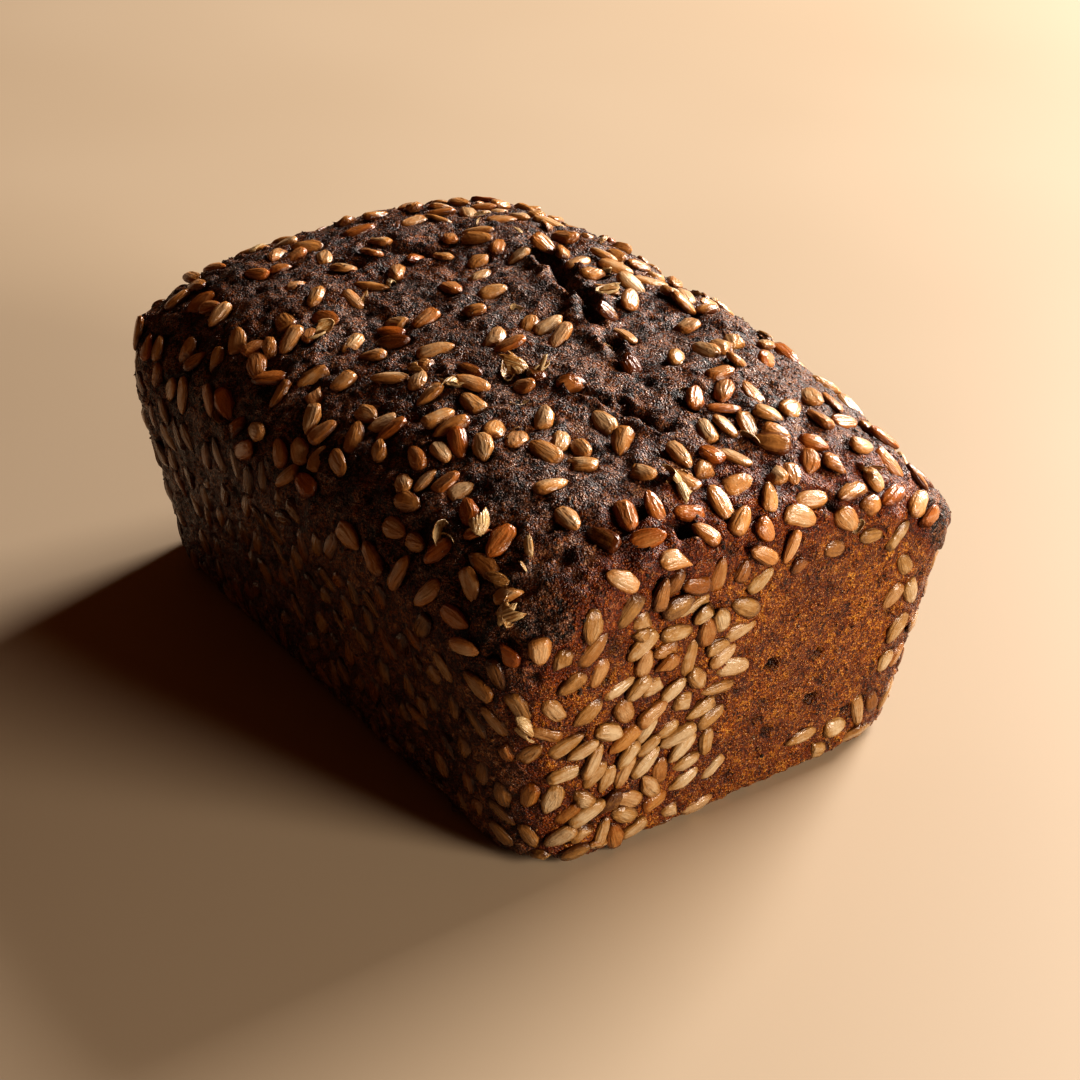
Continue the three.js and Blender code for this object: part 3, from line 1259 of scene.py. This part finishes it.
@dataclass
class Husks:
    """Papery seed coats, split and curled on the dome and at the near corner."""

    crust: LoafCrust
    rng: random.Random
    tufts_mm: tuple[tuple[float, float, float], ...] = (
        (20, -17, 89), (24, -12, 90), (16, -31, 87), (57, -60, 75), (61, -53, 80), (76, -58, 75),
        (82, -60, 71), (88, -60, 44), (75, -15, 85), (79, -13, 84), (-10, 34, 88), (30, 48, 82),
        (84, 34, 74), (-30, -40, 84), (-4, 26, 91), (5, 22, 92),
    )
    loose: int = 34

    def build(self) -> bpy.types.Object:
        """Lays two or three pieces at each tuft and scatters loose ones.

        Returns:
            The piece they are joined into.
        """
        rng = self.rng
        moulds = [
            HuskMould(half_width=1.2, torn_at=0.75, curl=0.0, seed=3.0),
            HuskMould(half_width=0.85, torn_at=0.5, curl=0.1, seed=9.0),
            HuskMould(half_width=1.2, torn_at=0.4, curl=0.05, seed=14.0),
            HuskMould(half_width=0.65, torn_at=0.6, curl=0.15, seed=21.0),
        ]
        joiner = Joiner(rng)
        tree = index_points(self.crust.points)
        for tuft in self.tufts_mm:
            _, index, _ = tree.find(Vector(tuft) * MM)
            heading = rng.uniform(0, math.tau)
            for side in range(rng.randint(2, 3)):
                turn = heading + 0.5 * side + rng.uniform(-0.3, 0.3)
                self._piece(joiner, rng.choice(moulds), index, turn, rng.uniform(0, 24), 1.8)
        above = np.flatnonzero(self.crust.normals[:, 2] > 0.15)
        for _ in range(self.loose):
            index = int(above[rng.randrange(len(above))])
            self._piece(joiner, rng.choice(moulds), index, rng.uniform(0, math.tau),
                        rng.uniform(0, 16), 0.6, rng.uniform(0.35, 0.75))
        return joiner.make("seed_husks", HUSK_SKIN)

    def _piece(self, joiner: Joiner, mould: HuskMould, index: int, turn: float,
               lift: float, stray: float, size: float = 1.0) -> None:
        """Adds one piece.

        Args:
            joiner: where it goes.
            mould: its shape.
            index: the crust point it lies on.
            turn: its heading in radians.
            lift: how steeply it stands, in degrees.
            stray: how far it may be off the point, in millimetres.
            size: its size next to a kernel's.
        """
        rng = self.rng
        normal = Vector(self.crust.normals[index])
        flat = Vector((1, 0, 0)) if abs(normal.x) < 0.8 else Vector((0, 1, 0))
        flat = along_surface(flat, normal)
        axis = turned(flat, turn, normal)
        across = normal.cross(axis)
        axis = turned(axis, -math.radians(lift), across)
        roll = rng.gauss(0, 40) + (180 if rng.random() < 0.55 else 0)
        across = turned(across, math.radians(roll), axis)
        up = axis.cross(across)
        length = rng.uniform(6.5, 9.0) * size
        shape = np.array((length, length * rng.uniform(0.46, 0.6), length * rng.uniform(0.32, 0.44)))
        centre = Vector(self.crust.points[index]) + normal * (
            (0.1 + 0.06 * length + length / 2 * math.sin(math.radians(lift)) * 0.7) * MM)
        centre += (flat * rng.uniform(-stray, stray) + normal.cross(flat) * rng.uniform(-stray, stray)) * MM
        joiner.add(mould, np.array((axis, across, up)).T * (shape / 2 * MM), centre,
                   rng.uniform(0.0, 0.5))


@dataclass
class BranMould(Mould):
    """A flake of bran or a crumb: a rough little pebble."""

    seed: float = 0.0

    def __post_init__(self) -> None:
        """Roughens a small ball."""
        build = bmesh.new()
        bmesh.ops.create_icosphere(build, subdivisions=1, radius=1.0)
        for vert in build.verts:
            vert.co *= 1.0 + 0.4 * noise.noise(vert.co * 1.7 + Vector((self.seed, 0, 0)))
        ball = np.array([v.co for v in build.verts])
        self.take(build, ball, np.zeros(len(ball)))


@dataclass
class Bran:
    """Flakes and crumbs stuck in the crust, more of them above than on the walls."""

    crust: LoafCrust
    rng: random.Random
    dome_count: int = 3400
    tin_count: int = 1800
    smallest_mm: float = 0.4
    usual_mm: float = 0.6
    largest_mm: float = 1.5

    def build(self) -> bpy.types.Object:
        """Scatters them, rust to black above and golden below.

        Returns:
            The piece they are joined into.
        """
        rng = self.rng
        moulds = [BranMould(seed=i * 7.0) for i in range(5)]
        joiner = Joiner(rng)
        up = self.crust.normals[:, 2]
        for pool, count, tones in (
            (np.flatnonzero(up > 0.1), self.dome_count, (0.1, 0.3, 0.5, 0.7)),
            (np.flatnonzero((up <= 0.1) & (up > -0.6)), self.tin_count, (-0.1, 0.0, 0.1, 0.3)),
        ):
            for _ in range(count):
                self._flake(joiner, rng.choice(moulds), int(pool[rng.randrange(len(pool))]),
                            rng.choice(tones))
        return joiner.make("bran_flakes", BRAN_SKIN)

    def _flake(self, joiner: Joiner, mould: BranMould, index: int, tone: float) -> None:
        """Adds one flake on a crust point.

        Args:
            joiner: where it goes.
            mould: its shape.
            index: the crust point it lies on.
            tone: how dark it is.
        """
        rng = self.rng
        normal = Vector(self.crust.normals[index])
        axis = turned(normal.orthogonal().normalized(), rng.uniform(0, math.tau), normal)
        axis = turned(axis, math.radians(rng.gauss(0, 25)), normal.cross(axis))
        across = normal.cross(axis).normalized()
        up = axis.cross(across)
        length = rng.triangular(self.smallest_mm, self.largest_mm, self.usual_mm)
        shape = np.array((length, length * rng.uniform(0.4, 0.9), length * rng.uniform(0.25, 0.5)))
        centre = Vector(self.crust.points[index]) + normal * (rng.uniform(-0.1, 0.12) * MM)
        centre.z = max(centre.z, 0.8 * MM)
        joiner.add(mould, np.array((axis, across, up)).T * (shape / 2 * MM), centre, tone)


# --------------------------------------------------------------------------- studio


@dataclass(frozen=True)
class Softbox:
    """One soft square light."""

    name: str
    place: tuple[float, float, float]
    size: float
    power: float
    tint: str


@dataclass
class Studio:
    """Pale floor, a soft window light behind the right side, a fill for the near end, a camera.

    Angles are in degrees and distances in metres. The camera looks at a point above the
    loaf's middle, from a little aside and down.
    """

    azimuth: float = 53.662
    elevation: float = 30.826
    roll: float = 1.745
    distance: float = 0.5576
    aside: float = 0.00447
    down: float = 0.0256
    aim_height: float = 0.05715
    lens_mm: float = 73.94
    sensor_mm: float = 36.0
    floor_half: float = 2.5
    ambient: float = 0.075
    ambient_tint: str = "#d87c34"
    lights: tuple[Softbox, ...] = (
        Softbox("window", (-0.30, 1.85, 0.95), 0.95, 99.0, "#fff3ea"),
        Softbox("end_fill", (1.10, 0.46, 0.40), 0.5, 18.0, "#ffeedc"),
    )

    def build(self) -> None:
        """Makes the floor, the lights and the camera."""
        self._floor()
        self._camera()
        self._world()
        for light in self.lights:
            self._hang(light)

    def _floor(self) -> None:
        """Lays the floor."""
        build = bmesh.new()
        bmesh.ops.create_grid(build, x_segments=1, y_segments=1, size=self.floor_half)
        mesh = bpy.data.meshes.new("floor")
        build.to_mesh(mesh)
        build.free()
        place_object("floor", mesh, PaleFloor().make())

    def _camera(self) -> None:
        """Sets the camera where the loaf is seen from its near corner."""
        turn, tilt = math.radians(self.azimuth), math.radians(self.elevation)
        back = Vector((math.sin(turn) * math.cos(tilt), -math.cos(turn) * math.cos(tilt), math.sin(tilt)))
        right = Vector((math.cos(turn), math.sin(turn), 0.0))
        right = turned(right, math.radians(self.roll), back)
        up = back.cross(right)
        data = bpy.data.cameras.new("camera")
        data.lens = self.lens_mm
        data.sensor_width = self.sensor_mm
        data.clip_start = 0.01
        camera = add_object("camera", data)
        place = Vector((0, 0, self.aim_height)) + back * self.distance + right * self.aside - up * self.down
        camera.matrix_world = Matrix.Translation(place) @ Matrix((right, up, back)).transposed().to_4x4()
        bpy.context.scene.camera = camera

    def _world(self) -> None:
        """Lights the shadows faintly and warmly from all round, and sets the contrast."""
        world = bpy.data.worlds.new("studio")
        world.use_nodes = True
        background = world.node_tree.nodes["Background"]
        background.inputs["Color"].default_value = linear(self.ambient_tint)
        background.inputs["Strength"].default_value = self.ambient
        bpy.context.scene.world = world
        bpy.context.scene.view_settings.view_transform = "Standard"
        bpy.context.scene.view_settings.look = "Medium High Contrast"

    def _hang(self, softbox: Softbox) -> None:
        """Hangs one light, aimed at the loaf.

        Args:
            softbox: the light.
        """
        data = bpy.data.lights.new(softbox.name, "AREA")
        data.shape = "SQUARE"
        data.size = softbox.size
        data.energy = softbox.power
        data.color = linear(softbox.tint)[:3]
        light = add_object(softbox.name, data)
        aim = Vector((0, 0, self.aim_height)) - Vector(softbox.place)
        light.rotation_mode = "QUATERNION"
        light.rotation_quaternion = aim.to_track_quat("-Z", "Y")
        light.location = softbox.place


def main() -> None:
    """Builds everything in order."""
    logging.basicConfig(level=logging.INFO, format="%(name)s: %(message)s")
    rng = random.Random(RANDOM_SEED)
    noise.seed_set(NOISE_SEED)
    Studio().build()
    log.info("studio ready")

    crust = LoafCrust()
    crust.shell()
    log.info("crust meshed with %d points", len(crust.points))
    crust.swell()
    coat = KernelCoat(crust, rng, KernelMoulds(rng))
    coat.lay()
    log.info("laid %d kernels", len(coat.kernels))
    crust.relief(coat.kernels, rng)
    crust.finish(BakedCrust().make())
    pieces = (
        coat.build("wall_kernels", (Seat.PRESSED, Seat.UNDER), PRESSED_SKIN),
        coat.build("dome_kernels", (Seat.PROUD,), TOASTED_SKIN),
        Husks(crust, rng).build(),
        Bran(crust, rng).build(),
    )
    for piece in pieces:
        log.info("%s: %d faces", piece.name, len(piece.data.polygons))


if __name__ == "__main__":
    main()
